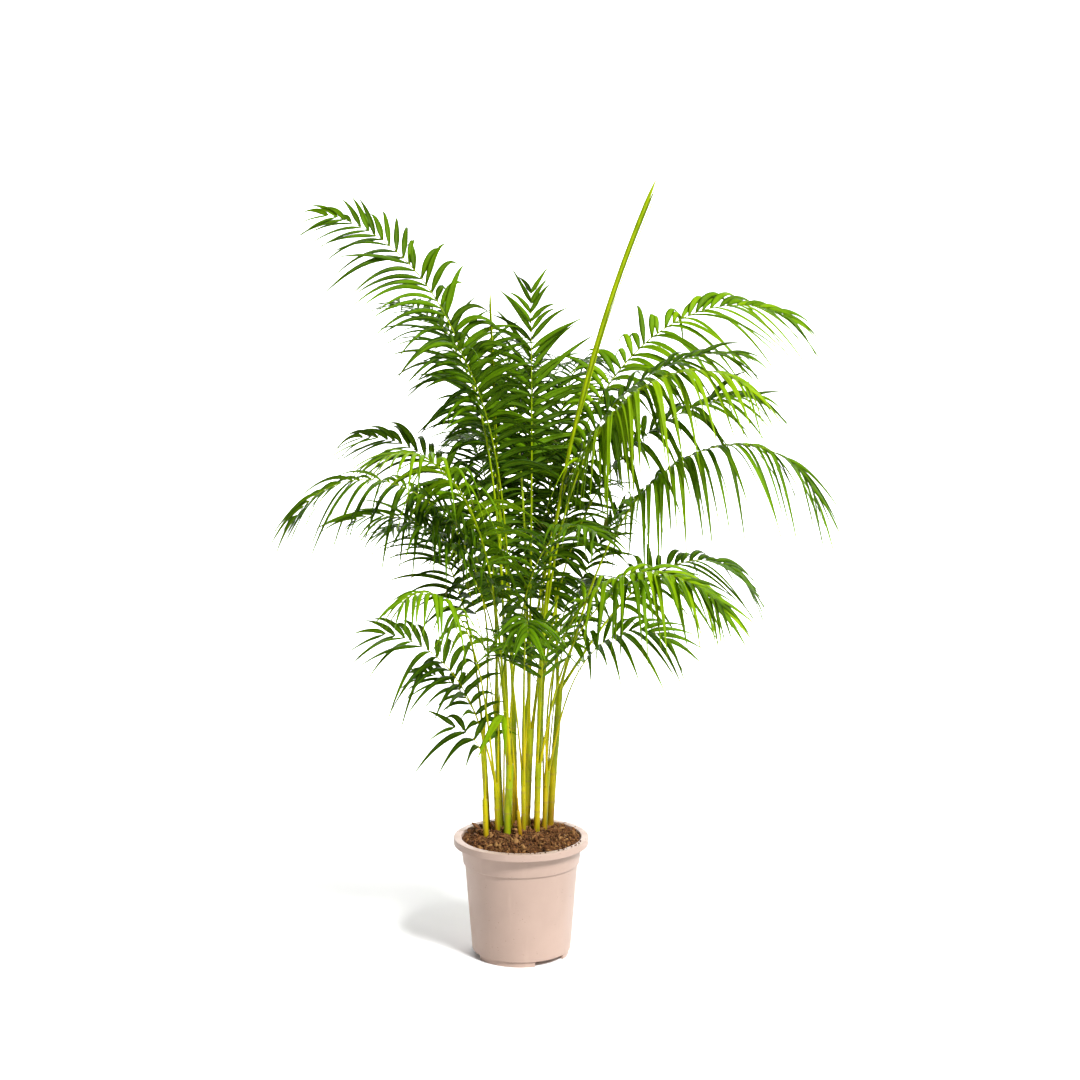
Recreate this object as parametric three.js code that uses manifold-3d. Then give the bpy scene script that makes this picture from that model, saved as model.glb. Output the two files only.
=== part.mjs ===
// A young areca palm, Dypsis lutescens, in the plastic nursery pot it is sold in.
//
// Millimetres, +Z up. The origin is on the pot's axis, on the floor it stands on.
// The pot, its soil, every cane, every frond and the unopened spear are separate solids.
// A cane stands in a hole in the soil. A frond's petiole stands on the end of its cane.

import * as THREE from 'three';
import { mergeVertices } from 'three/addons/utils/BufferGeometryUtils.js';
import Module from 'manifold-3d';

const wasm = await Module();
wasm.setup();

// ---- Pot ------------------------------------------------------------------------------

const POT_HEIGHT = 240;
const RIM_OVERHANG = 12.5; // from the collar's upper edge out to the rim's outside
const RIM_HEIGHT = 14; // of the skirt that hangs from the rim's flat top
const COLLAR_RADIUS = 122.5; // just below the rim
const COLLAR_DRAFT = 6; // how much narrower the collar is at its lower edge
const COLLAR_HEIGHT = 52; // from the top of the pot
const COLLAR_STEP = 3.5; // the step in from the collar to the wall
const BASE_RADIUS = 99; // outside of the wall where it meets the floor
const WALL = 2.5;
const FLOOR_THICKNESS = 3;
const FOOT_HEIGHT = 11;
const FOOT_INSET = 4; // from the base's edge in to the feet
const FOOT_WIDTH = 5;
const FOOT_SPAN = 76; // degrees of each foot
const FOOT_TURN = -29; // degrees where the first foot starts
const FEET = 3;
const BOSS_RADIUS = 19; // the round foot in the middle of the underside
const DRAIN_RADIUS = 7;
const DRAIN_CIRCLE = 62;
const DRAINS = 6;
const ROUND_SIDES = 44;

// ---- Soil -----------------------------------------------------------------------------

const SOIL_BELOW_RIM = 5; // along the wall
const SOIL_MOUND = 13; // how much higher the soil is in the middle
const SOIL_LUMP = 1.6;
const PLANTED_BELOW_RIM = 4; // where the canes leave the soil
const PLANTING_DEPTH = 20; // how far each cane reaches into the soil

// ---- Plant ----------------------------------------------------------------------------

const CLEARANCE = 0.3; // between neighbouring solids
const CANE_SIDES = 7;
const INTERNODE = 55; // between the ring scars of a cane
const RING_SCAR = 0.06; // how far a scar stands out, as a share of the cane's radius
const PETIOLE_SHARE = 0.46; // petiole radius over cane radius
const PETIOLE_GAP = 0.9; // between neighbouring petioles where they leave their cane
const TIP_SHARE = 0.22; // rachis radius at its tip over the petiole's radius
const RACHIS_SIDES = 5;
const SPINE_STEPS = 48;
const LEAFLET_WIDTH = 20;
const LEAFLET_THICKNESS = 2;
const LEAFLET_PROFILE = [[0, 0], [1, 0.25], [0.8, 0.6], [0, 1]]; // [share of width, of length]
const BASE_ANGLE = 66; // degrees between the lowest leaflets and the rachis
const TIP_ANGLE = 28; // degrees between the last leaflets and the rachis
const BASE_RISE = 38; // degrees that the lowest leaflets stand up from the frond's plane
const TIP_RISE = 18;

// Every cane is given by where it stands, its radius, its height above the soil, and how
// many degrees it leans from the vertical towards a compass heading (0 is +X, 90 is +Y).
// Every frond is given by its heading, its lean where it leaves the cane, the degrees it
// bends over from there to its tip, how late it bends, its length, the share of the
// length that is bare petiole, its pairs of leaflets, its longest leaflet, how far that
// leaflet's tip sags as a share of its length, and how many degrees the blade is turned
// about its rachis. A spear is a frond that is still closed, and has a radius instead of
// leaflets. The fronds of a cane are listed in the order of their headings.
const frond = (heading, lean, bend, late, length, bare, pairs, leaflet, droop, roll) => (
  { heading, lean, bend, late, length, bare, pairs, leaflet, droop, roll }
);
const spear = (heading, lean, bend, late, length, radius) => (
  { ...frond(heading, lean, bend, late, length, 1, 0, 0, 0, 0), closed: true, radius }
);
const cane = (x, y, radius, height, lean, heading, fronds) => (
  { x, y, radius, height, lean, heading, fronds }
);

const CANES = [
  cane(-70, -6, 5.5, 80, 2, 180, [
    frond(160, -2, 104, 2.1, 330, 0.46, 4, 140, 0.45, -30),
    frond(185, -4, 80, 2.1, 175, 0.60, 3, 210, 0.42, -45),
  ]),
  cane(-47, 12, 5.5, 110, 2, 180, [
    frond(178, 13, 74, 2.1, 400, 0.46, 6, 230, 0.45, -40),
    frond(235, 10, 106, 2.9, 570, 0.52, 7, 190, 0.70, 0),
    frond(300, 2, 6, 1.5, 262, 0.93, 1, 200, 0.60, 0),
  ]),
  cane(-28, 2, 7.5, 150, 2, 0, [
    frond(165, 2, 78, 3.4, 1230, 0.55, 11, 235, 0.40, -46),
    frond(225, 6, 98, 3.5, 790, 0.52, 8, 290, 0.60, 0),
  ]),
  cane(-2, -16, 4, 60, 4, 180, [
    frond(250, 12, 125, 9.0, 250, 0.94, 1, 250, 0.50, 0),
  ]),
  cane(10, 38, 7.5, 215, 2, 0, [
    frond(100, 5, 85, 2.4, 960, 0.52, 9, 260, 0.45, 0),
    frond(262, -6, 12, 2.0, 870, 0.60, 9, 205, 0.18, 0),
    frond(340, 7, 122, 3.4, 965, 0.54, 9, 290, 0.80, 15),
  ]),
  cane(30, 14, 6, 150, 2, 20, [
    frond(280, 18, -10, 1.5, 310, 0.60, 4, 175, 0.12, 0),
    frond(328, 12, 118, 2.2, 640, 0.46, 7, 230, 0.60, 10),
    spear(373, -1, 25, 1.0, 1180, 5),
  ]),
  cane(45, 30, 5.5, 130, 3, 0, [
    frond(325, -1, 138, 1.8, 700, 0.46, 8, 230, 0.62, 20),
    frond(345, 12, 112, 2.7, 430, 0.54, 5, 230, 0.45, 30),
    frond(436, 15, 112, 1.9, 600, 0.40, 7, 210, 0.40, 0),
  ]),
  cane(57, 60, 7, 290, 4, 10, [
    frond(345, 16, 145, 2.7, 845, 0.42, 9, 290, 0.80, 12),
    frond(382, 36, 112, 2.5, 540, 0.36, 7, 240, 0.55, 30),
    frond(456, 10, 108, 2.1, 720, 0.42, 7, 240, 0.40, 0),
  ]),
  cane(-68, 38, 6, 170, 3, 160, [
    frond(122, 9, 108, 2.0, 660, 0.42, 7, 230, 0.40, -10),
    frond(190, -5, 154, 2.3, 830, 0.50, 8, 260, 0.65, -15),
  ]),
  cane(-42, 54, 6.5, 240, 3, 130, [
    frond(100, 8, 104, 2.2, 780, 0.45, 8, 250, 0.40, 0),
    frond(160, -2, 99, 2.2, 710, 0.45, 8, 250, 0.45, -30),
  ]),
  cane(-14, 66, 6.5, 260, 2, 110, [
    frond(128, 4, 84, 2.6, 980, 0.52, 9, 260, 0.40, -15),
    frond(240, 3, 58, 2.6, 840, 0.52, 8, 240, 0.40, 0),
  ]),
  cane(30, 78, 6.5, 250, 4, 60, [
    frond(350, 7, 86, 2.1, 840, 0.48, 8, 260, 0.50, 30),
    frond(380, 2, 116, 2.3, 1140, 0.52, 10, 280, 0.50, 40),
    frond(436, 8, 92, 2.4, 920, 0.48, 8, 250, 0.40, 0),
  ]),
  cane(-22, 34, 5.5, 190, 2, 150, [
    frond(205, 4, 100, 2.2, 640, 0.44, 8, 240, 0.45, -10),
    frond(300, 7, 98, 2.3, 640, 0.46, 7, 230, 0.45, 0),
    spear(545, 1.5, 1, 1.0, 900, 2.2),
  ]),
  cane(4, 6, 4.5, 140, 3, 270, [
    frond(200, 5, 45, 2.2, 600, 0.36, 7, 220, 0.35, -20),
    frond(272, 9, 104, 2.0, 520, 0.46, 5, 200, 0.55, 0),
    frond(418, 6, 84, 2.4, 700, 0.48, 7, 230, 0.40, 10),
  ]),
  cane(4, 84, 5.5, 230, 3, 80, [
    frond(352, 6, 92, 2.7, 940, 0.50, 8, 260, 0.50, 25),
    frond(446, 8, 70, 2.2, 880, 0.48, 8, 250, 0.40, 0),
  ]),
  cane(-38, 74, 4.5, 40, 3, 120, [
    frond(85, 6, 50, 2.2, 700, 0.62, 6, 170, 0.35, 0),
    frond(150, 4, 40, 2.2, 640, 0.62, 6, 170, 0.35, -15),
  ]),
  cane(46, 74, 4.5, 40, 3, 60, [
    frond(30, 4, 40, 2.2, 640, 0.62, 6, 170, 0.35, 15),
    frond(95, 6, 50, 2.2, 700, 0.62, 6, 170, 0.35, 0),
  ]),
];

// ---- Materials ------------------------------------------------------------------------

const colour = (r, g, b, roughness) => new THREE.MeshStandardMaterial({
  color: new THREE.Color().setRGB(r, g, b, THREE.SRGBColorSpace),
  roughness,
  metalness: 0,
});
const MATERIALS = {
  pot: () => colour(0.82, 0.69, 0.62, 0.5),
  soil: () => colour(0.30, 0.19, 0.12, 1),
  cane: () => colour(0.74, 0.68, 0.16, 0.55),
  frond: () => colour(0.32, 0.50, 0.10, 0.5),
  spear: () => colour(0.50, 0.62, 0.16, 0.5),
};

// ---- Solids ---------------------------------------------------------------------------

const radians = THREE.MathUtils.degToRad;

// A closed mesh, with each point stored once and no collapsed triangles.
function weld(geometry) {
  geometry.deleteAttribute('normal');
  geometry.deleteAttribute('uv');
  const merged = mergeVertices(geometry, 1e-4);
  const corners = merged.index.array;
  const kept = [];
  for (let i = 0; i < corners.length; i += 3) {
    const [a, b, c] = corners.slice(i, i + 3);
    if (a !== b && b !== c && c !== a) kept.push(a, b, c);
  }
  merged.setIndex(kept);
  return merged;
}

function solid(geometry) {
  const welded = weld(geometry);
  return new wasm.Manifold(new wasm.Mesh({
    numProp: 3,
    vertProperties: new Float32Array(welded.attributes.position.array),
    triVerts: new Uint32Array(welded.index.array),
  }));
}

function shell(shape) {
  const { vertProperties, triVerts } = shape.getMesh();
  const geometry = new THREE.BufferGeometry();
  geometry.setAttribute('position', new THREE.BufferAttribute(new Float32Array(vertProperties), 3));
  geometry.setIndex(Array.from(triVerts));
  geometry.computeVertexNormals();
  return geometry;
}

// A profile of [radius, height] points, turned about the Z axis.
function turned(profile, sides = ROUND_SIDES) {
  const points = profile.map(([r, z]) => new THREE.Vector2(r, z));
  return new THREE.LatheGeometry(points, sides).rotateX(Math.PI / 2);
}

function disc(radius, bottom, top, x, y, sides) {
  return new THREE.CylinderGeometry(radius, radius, top - bottom, sides)
    .rotateX(Math.PI / 2)
    .translate(x, y, (top + bottom) / 2);
}

// ---- Pot and soil ---------------------------------------------------------------------

const collarBottom = POT_HEIGHT - COLLAR_HEIGHT;
const collarBottomRadius = COLLAR_RADIUS - COLLAR_DRAFT;
const wallTopRadius = collarBottomRadius - COLLAR_STEP;
const rimRadius = COLLAR_RADIUS + RIM_OVERHANG;
const footRadius = BASE_RADIUS - FOOT_INSET;
const floorTop = FOOT_HEIGHT + FLOOR_THICKNESS;

// The pot's inner surface, from the floor's edge up to the rim.
const innerProfile = [
  [BASE_RADIUS - WALL, floorTop],
  [wallTopRadius - WALL, collarBottom - WALL],
  [collarBottomRadius - WALL, collarBottom + WALL],
  [COLLAR_RADIUS - WALL, POT_HEIGHT],
];

function footShape() {
  const start = 0;
  const end = radians(FOOT_SPAN);
  const shape = new THREE.Shape();
  shape.absarc(0, 0, footRadius, start, end, false);
  shape.absarc(0, 0, footRadius - FOOT_WIDTH, end, start, true);
  shape.closePath();
  return shape;
}

function footSolid(index) {
  const geometry = new THREE.ExtrudeGeometry(footShape(), {
    depth: FOOT_HEIGHT + FLOOR_THICKNESS / 2,
    bevelEnabled: false,
    curveSegments: 10,
  });
  return solid(geometry.rotateZ(radians(FOOT_TURN + (index * 360) / FEET)));
}

function drainSolid(index) {
  const turn = radians((index * 360) / DRAINS + 30);
  const x = DRAIN_CIRCLE * Math.cos(turn);
  const y = DRAIN_CIRCLE * Math.sin(turn);
  return solid(disc(DRAIN_RADIUS, FOOT_HEIGHT - 1, floorTop + 1, x, y, 12));
}

function potSolid() {
  const skirtTop = POT_HEIGHT - WALL;
  let pot = solid(turned([
    [0, FOOT_HEIGHT],
    [BASE_RADIUS, FOOT_HEIGHT],
    [wallTopRadius, collarBottom],
    [collarBottomRadius, collarBottom],
    [COLLAR_RADIUS, skirtTop],
    [rimRadius - WALL, skirtTop],
    [rimRadius - WALL, POT_HEIGHT - RIM_HEIGHT],
    [rimRadius, POT_HEIGHT - RIM_HEIGHT],
    [rimRadius, POT_HEIGHT],
    ...innerProfile.toReversed(),
    [0, floorTop],
  ]));
  for (let i = 0; i < FEET; i += 1) {
    pot = pot.add(footSolid(i));
  }
  pot = pot.add(solid(disc(BOSS_RADIUS, 0, FOOT_HEIGHT + FLOOR_THICKNESS / 2, 0, 0, 24)));
  for (let i = 0; i < DRAINS; i += 1) {
    pot = pot.subtract(drainSolid(i));
  }
  return pot;
}

// The soil is a little higher in the middle and behind, and lumpy all over.
function soilHeight(x, y) {
  const reach = COLLAR_RADIUS - WALL;
  const out = Math.min(1, Math.hypot(x, y) / reach);
  const mound = SOIL_MOUND * (1 - out * out) * (0.8 + (0.3 * (x + y)) / reach);
  const lumps = Math.sin(x * 0.21) * Math.cos(y * 0.17) + Math.sin(x * 0.11 + y * 0.13);
  return POT_HEIGHT - SOIL_BELOW_RIM + mound + (SOIL_LUMP * lumps) / 2;
}

function soilSolid(holes) {
  const edge = POT_HEIGHT - SOIL_BELOW_RIM;
  const [low, high] = innerProfile.slice(-2);
  const edgeRadius = THREE.MathUtils.mapLinear(edge, low[1], high[1], low[0], high[0]) - 2 * CLEARANCE;
  const sides = innerProfile.slice(0, 3).map(([r, z]) => [r - 1.2 * CLEARANCE, z + CLEARANCE]);
  const rings = [1, 0.8, 0.55, 0.3, 0].map((share) => [share * edgeRadius, edge]);
  const geometry = turned([[0, floorTop + CLEARANCE], ...sides, ...rings]);
  const points = geometry.attributes.position;
  for (let i = 0; i < points.count; i += 1) {
    if (points.getZ(i) > edge - 1) {
      points.setZ(i, soilHeight(points.getX(i), points.getY(i)));
    }
  }
  return holes.reduce((soil, hole) => soil.subtract(hole), solid(geometry));
}

// ---- Canes ----------------------------------------------------------------------------

const soilLine = POT_HEIGHT - PLANTED_BELOW_RIM;

const heading = (degrees) => new THREE.Vector3(
  Math.cos(radians(degrees)), Math.sin(radians(degrees)), 0,
);

function leaning(lean, towards) {
  return heading(towards)
    .multiplyScalar(Math.sin(radians(lean)))
    .add(new THREE.Vector3(0, 0, Math.cos(radians(lean))));
}

function caneTop({ x, y, height, lean, heading: towards }) {
  return new THREE.Vector3(x, y, soilLine).addScaledVector(leaning(lean, towards), height);
}

// A cane swells a little towards each of its ring scars.
function caneProfile(spec, grown) {
  const radius = spec.radius + grown;
  const internodes = Math.max(1, Math.round(spec.height / INTERNODE));
  const profile = [[0, -PLANTING_DEPTH - grown], [radius, -PLANTING_DEPTH - grown]];
  for (let i = 1; i <= internodes; i += 1) {
    const z = (spec.height * i) / internodes;
    const last = i === internodes;
    profile.push([radius * (1 + RING_SCAR), last ? z + grown : z - 3]);
    if (!last) profile.push([radius, z]);
  }
  return [...profile, [0, spec.height + grown]];
}

function caneSolid(spec, grown = 0) {
  const up = new THREE.Vector3(0, 0, 1);
  const tilt = new THREE.Quaternion().setFromUnitVectors(up, leaning(spec.lean, spec.heading));
  return solid(turned(caneProfile(spec, grown), CANE_SIDES)
    .applyQuaternion(tilt)
    .translate(spec.x, spec.y, soilLine));
}

// ---- Fronds ---------------------------------------------------------------------------

// The line of a petiole and its rachis: it stays in one upright plane, and bends over
// faster and faster towards the tip.
class Spine extends THREE.Curve {
  constructor(base, spec) {
    super();
    this.spec = spec;
    this.points = [base.clone()];
    for (let i = 0; i < SPINE_STEPS; i += 1) {
      const along = this.direction((i + 0.5) / SPINE_STEPS);
      const previous = this.points[i].clone();
      this.points.push(previous.addScaledVector(along, spec.length / SPINE_STEPS));
    }
  }

  direction(t) {
    const { lean, bend, late } = this.spec;
    return leaning(lean + bend * t ** late, this.spec.heading);
  }

  // The side of the frond that faces up or inward.
  normal(t) {
    const { lean, bend, late } = this.spec;
    return leaning(lean + bend * t ** late - 90, this.spec.heading);
  }

  getPoint(t, target = new THREE.Vector3()) {
    const step = Math.min(t * SPINE_STEPS, SPINE_STEPS - 1e-6);
    const i = Math.floor(step);
    return target.lerpVectors(this.points[i], this.points[i + 1], step - i);
  }
}

// The petioles of a cane stand evenly around its end, each clear of the next one, and as
// near as they can to the way they lean.
function seatOf(caneSpec, index) {
  const { fronds, radius } = caneSpec;
  const mean = fronds.reduce((sum, each) => sum + each.heading, 0) / fronds.length;
  const turn = mean + ((index - (fronds.length - 1) / 2) * 360) / fronds.length;
  const petiole = PETIOLE_SHARE * radius;
  const out = fronds.length > 1 ? (petiole + PETIOLE_GAP / 2) / Math.sin(Math.PI / fronds.length) : 0;
  const tilt = petiole * Math.abs(Math.sin(radians(fronds[index].lean)));
  const lift = CLEARANCE + tilt + radius * Math.sin(radians(caneSpec.lean));
  return caneTop(caneSpec)
    .addScaledVector(heading(turn), out)
    .add(new THREE.Vector3(0, 0, lift));
}

function rachisRadius(spec, petiole, t) {
  if (!spec.closed) return petiole * (1 - (1 - TIP_SHARE) * t);
  const swelling = THREE.MathUtils.smoothstep(t, 0.35, 0.62);
  const point = 1 - 0.8 * THREE.MathUtils.smoothstep(t, 0.86, 1);
  return THREE.MathUtils.lerp(petiole, spec.radius, swelling) * point;
}

function polygon(sides) {
  const corners = [];
  for (let i = 0; i < sides; i += 1) {
    const turn = (i * 2 * Math.PI) / sides;
    corners.push(new THREE.Vector2(Math.cos(turn), Math.sin(turn)));
  }
  return new THREE.Shape(corners);
}

// A section of radius 1 along the spine, then every ring drawn in to its own radius.
function rachisSolid(stem, grown = 0) {
  const { spine, rings } = stem;
  const steps = rings.length - 1;
  const geometry = new THREE.ExtrudeGeometry(polygon(RACHIS_SIDES), {
    steps,
    extrudePath: spine,
    bevelEnabled: false,
  });
  const points = geometry.attributes.position;
  const point = new THREE.Vector3();
  for (let i = 0; i < points.count; i += 1) {
    point.fromBufferAttribute(points, i);
    const distances = rings.map((ring) => ring.distanceTo(point));
    const nearest = distances.indexOf(Math.min(...distances));
    const radius = rachisRadius(stem.spec, stem.petiole, nearest / steps) + grown;
    point.sub(rings[nearest]).multiplyScalar(radius).add(rings[nearest]);
    points.setXYZ(i, point.x, point.y, point.z);
  }
  return solid(geometry);
}

// The middle of the faceted rachis at a share t of its length.
function middleOf(rings, t) {
  const step = Math.min(t * (rings.length - 1), rings.length - 1 - 1e-6);
  const i = Math.floor(step);
  return rings[i].clone().lerp(rings[i + 1], step - i);
}

// A small repeatable unevenness between -1 and 1.
const uneven = (...seeds) => {
  const wave = Math.sin(seeds.reduce((sum, seed, i) => sum + seed * (12.9 + 7.3 * i), 0.7)) * 43758.5;
  return 2 * (wave - Math.floor(wave)) - 1;
};

// Where a leaflet's middle is at each share of its length, and how its blade lies there.
// It keeps its length as it sags.
function leafletFrames(base, axis, flat, length, droop, shares) {
  const down = new THREE.Vector3(0, 0, -1);
  const reach = Math.sqrt(1 - droop ** 2);
  let side = flat;
  return shares.map((share) => {
    const bent = Math.max(0, share);
    const tangent = axis.clone()
      .multiplyScalar(reach)
      .addScaledVector(down, 2 * droop * bent)
      .normalize();
    side = side.clone().addScaledVector(tangent, -side.dot(tangent)).normalize();
    const middle = base.clone()
      .addScaledVector(axis, length * reach * share)
      .addScaledVector(down, length * droop * bent ** 2);
    return { middle, side, face: new THREE.Vector3().crossVectors(side, tangent) };
  });
}

// A leaflet is three-sided, narrow where it leaves the rachis, widest a quarter of the way
// along and pointed at the end. A short one sags less than a long one.
function leafletSolid(stem, place, side, change, grown = 0) {
  const { spine, rings, spec } = stem;
  const t = spec.bare + (1 - spec.bare) * (0.02 + 0.97 * place);
  const along = spine.direction(t);
  const up = spine.normal(t).applyAxisAngle(along, radians(spec.roll));
  const across = new THREE.Vector3().crossVectors(along, up).multiplyScalar(side);
  const angle = radians(THREE.MathUtils.lerp(BASE_ANGLE, TIP_ANGLE, place));
  const rise = radians(THREE.MathUtils.lerp(BASE_RISE, TIP_RISE, place) + change.rise);
  const out = across.multiplyScalar(Math.cos(rise)).addScaledVector(up, Math.sin(rise));
  const axis = along.clone().multiplyScalar(Math.cos(angle)).addScaledVector(out, Math.sin(angle));
  const flat = along.clone().addScaledVector(axis, -along.dot(axis)).normalize();
  const shape = 0.75 + 0.25 * Math.sin(Math.PI * Math.min(1, 1.15 * place)) - 0.38 * place ** 3;
  const length = spec.leaflet * shape * change.length;
  const droop = spec.droop * (0.4 + 0.6 * shape * change.length);
  const extra = 1 + (3 * grown) / LEAFLET_THICKNESS;
  const fullness = (0.6 + 0.4 * shape) * Math.sqrt(Math.min(1, change.length));
  const width = (LEAFLET_WIDTH * extra * fullness) / Math.sqrt(3);
  const thickness = (LEAFLET_THICKNESS * extra) / 1.5;
  const stations = LEAFLET_PROFILE.map(([, y]) => y);
  const shares = stations.map((y) => y + (10 * grown * (y - 0.5)) / length);
  const frames = leafletFrames(middleOf(rings, t), axis, flat, length, droop, shares);
  const geometry = new THREE.LatheGeometry(
    LEAFLET_PROFILE.map(([r, y]) => new THREE.Vector2(r, y)), 3,
  );
  const points = geometry.attributes.position;
  for (let i = 0; i < points.count; i += 1) {
    const { middle, side: wide, face } = frames[stations.findIndex((y) => points.getY(i) < y + 0.01)];
    const point = middle.clone()
      .addScaledVector(wide, width * points.getX(i))
      .addScaledVector(face, thickness * points.getZ(i));
    points.setXYZ(i, point.x, point.y, point.z);
  }
  return solid(geometry);
}

// ---- Growing the plant without one leaf running through another -------------------------

const boxOf = (shape) => {
  const { min, max } = shape.boundingBox();
  return new THREE.Box3(new THREE.Vector3(...min), new THREE.Vector3(...max));
};

const obstacle = (shape, owner) => ({ shape, owner, box: boxOf(shape) });

function touches(candidate, obstacles) {
  return obstacles.some(({ shape, box }) => (
    candidate.box.intersectsBox(box) && !candidate.shape.intersect(shape).isEmpty()
  ));
}

// The leaflet as it wants to grow, or else the nearest way that clears its neighbours:
// standing a little higher or lower, or else shorter.
function growLeaflet(stem, place, side, obstacles) {
  const seed = [stem.number, place, side];
  for (const length of [1, 0.8, 0.6, 0.4, 0.25, 0.12]) {
    for (const swing of [0, 7, -7, 14, -14, 22, -22, 30, -30]) {
      const change = {
        rise: swing + 4 * uneven(...seed),
        length: length * (1 + 0.06 * uneven(...seed, 5)),
      };
      const candidate = obstacle(leafletSolid(stem, place, side, change), stem);
      if (!touches(candidate, obstacles)) {
        const grown = obstacle(leafletSolid(stem, place, side, change, CLEARANCE), stem);
        return { leaflet: candidate.shape, grown };
      }
    }
  }
  return null;
}

function frondSolid(stem, stems, leaflets) {
  const strangers = [...stems, ...leaflets].filter(({ owner }) => owner !== stem);
  let shape = rachisSolid(stem);
  for (let i = 0; i < stem.spec.pairs; i += 1) {
    const place = stem.spec.pairs > 1 ? i / (stem.spec.pairs - 1) : 1;
    for (const side of [-1, 1]) {
      const result = growLeaflet(stem, place, side, strangers);
      if (result) {
        shape = shape.add(result.leaflet);
        leaflets.push(result.grown);
      }
    }
  }
  return shape;
}

// A petiole that would touch an earlier stem leaves its cane in a slightly other direction.
function growStem(caneSpec, index, number, obstacles) {
  for (const swing of [0, 3, -3, 6, -6, 9, -9, 12, -12, 16, -16, 20, -20]) {
    const wanted = caneSpec.fronds[index];
    const spec = { ...wanted, heading: wanted.heading + swing };
    const spine = new Spine(seatOf(caneSpec, index), spec);
    const rings = spine.getSpacedPoints(5 + Math.round(spec.length / 110));
    const stem = { number, spec, spine, rings, petiole: PETIOLE_SHARE * caneSpec.radius };
    if (!touches(obstacle(rachisSolid(stem)), obstacles)) return stem;
  }
  throw new Error(`no room for frond ${index} of the cane at ${caneSpec.x}, ${caneSpec.y}`);
}

// ---- The object -------------------------------------------------------------------------

const group = new THREE.Group();

function addNode(name, shape, material) {
  const mesh = new THREE.Mesh(shell(shape), MATERIALS[material]());
  mesh.name = name;
  group.add(mesh);
}

const caneName = (index) => `cane_${String(index + 1).padStart(2, '0')}`;
const caneTwins = CANES.map((spec) => obstacle(caneSolid(spec, CLEARANCE)));

addNode('pot', potSolid(), 'pot');
addNode('potting_soil', soilSolid(caneTwins.map(({ shape }) => shape)), 'soil');
CANES.forEach((spec, index) => addNode(caneName(index), caneSolid(spec), 'cane'));

const stems = [];
CANES.forEach((spec, caneIndex) => {
  const strangers = caneTwins.filter((_, i) => i !== caneIndex);
  spec.fronds.forEach((_, index) => {
    const stem = growStem(spec, index, stems.length, [...strangers, ...stems.map((each) => each.twin)]);
    stem.name = `${caneName(caneIndex)}_${stem.spec.closed ? 'spear' : `frond_${'abc'[index]}`}`;
    stem.twin = obstacle(rachisSolid(stem, CLEARANCE), stem);
    stems.push(stem);
  });
});

const hardObstacles = [...caneTwins, ...stems.map((stem) => stem.twin)];
const leaflets = [];
stems.forEach((stem) => {
  const shape = frondSolid(stem, hardObstacles, leaflets);
  addNode(stem.name, shape, stem.spec.closed ? 'spear' : 'frond');
});

export default group;
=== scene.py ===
# The looks of a young areca palm in its nursery pot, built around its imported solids.
# The plant is described in millimetres, as its solids are, and put into Blender in metres.
# Every cane, frond and spear is one object, and so are the pot and the soil.

import functools
import math
import random
from collections import namedtuple

import bpy
import numpy as np
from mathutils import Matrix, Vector, noise


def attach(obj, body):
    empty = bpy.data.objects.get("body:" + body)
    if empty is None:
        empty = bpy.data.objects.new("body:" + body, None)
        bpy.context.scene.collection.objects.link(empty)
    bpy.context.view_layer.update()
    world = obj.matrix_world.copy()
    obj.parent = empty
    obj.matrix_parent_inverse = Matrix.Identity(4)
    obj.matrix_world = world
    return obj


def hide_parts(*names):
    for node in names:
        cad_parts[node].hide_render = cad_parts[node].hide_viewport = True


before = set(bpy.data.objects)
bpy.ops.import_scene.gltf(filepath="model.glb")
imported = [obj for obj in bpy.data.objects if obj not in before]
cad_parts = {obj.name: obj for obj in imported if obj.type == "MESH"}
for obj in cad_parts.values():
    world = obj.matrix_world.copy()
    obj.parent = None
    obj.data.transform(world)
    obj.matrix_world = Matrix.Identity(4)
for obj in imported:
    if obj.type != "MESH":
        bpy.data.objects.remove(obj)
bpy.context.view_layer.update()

random.seed(7)

MM = 0.001
UP = np.array([0.0, 0.0, 1.0])

# ---- Sizes shared with the solids ----------------------------------------------------------

POT_HEIGHT = 240
RIM_OVERHANG = 12.5
RIM_HEIGHT = 14
COLLAR_RADIUS = 122.5
COLLAR_DRAFT = 6
COLLAR_HEIGHT = 52
COLLAR_STEP = 3.5
BASE_RADIUS = 99
WALL = 2.5
FLOOR_THICKNESS = 3
FOOT_HEIGHT = 11
FOOT_INSET = 4
FOOT_WIDTH = 5
FOOT_SPAN = 76
FOOT_TURN = -29
FEET = 3
BOSS_RADIUS = 19
DRAIN_RADIUS = 7
DRAIN_CIRCLE = 62
DRAIN_TURN = 30
DRAINS = 6

SOIL_BELOW_RIM = 5
SOIL_MOUND = 13
PLANTED_BELOW_RIM = 4
PLANTING_DEPTH = 20

CLEARANCE = 0.3
INTERNODE = 55
PETIOLE_SHARE = 0.46
PETIOLE_GAP = 0.9
TIP_SHARE = 0.22
SPINE_STEPS = 48
BASE_ANGLE = 66
TIP_ANGLE = 28
BASE_RISE = 38
TIP_RISE = 18

# ---- Sizes that only the looks need --------------------------------------------------------

ROUND = 160  # segments around the pot
POT_CORNER = 1.6
FOOT_STEPS = 24
FOOT_DRAFT = 0.6
FUSED = 1.5  # how far the feet and the boss run into the pot's floor
PLUG_SIDES = 32
DRAIN_CUT = (5, 20)  # from under the floor to above it

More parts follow.
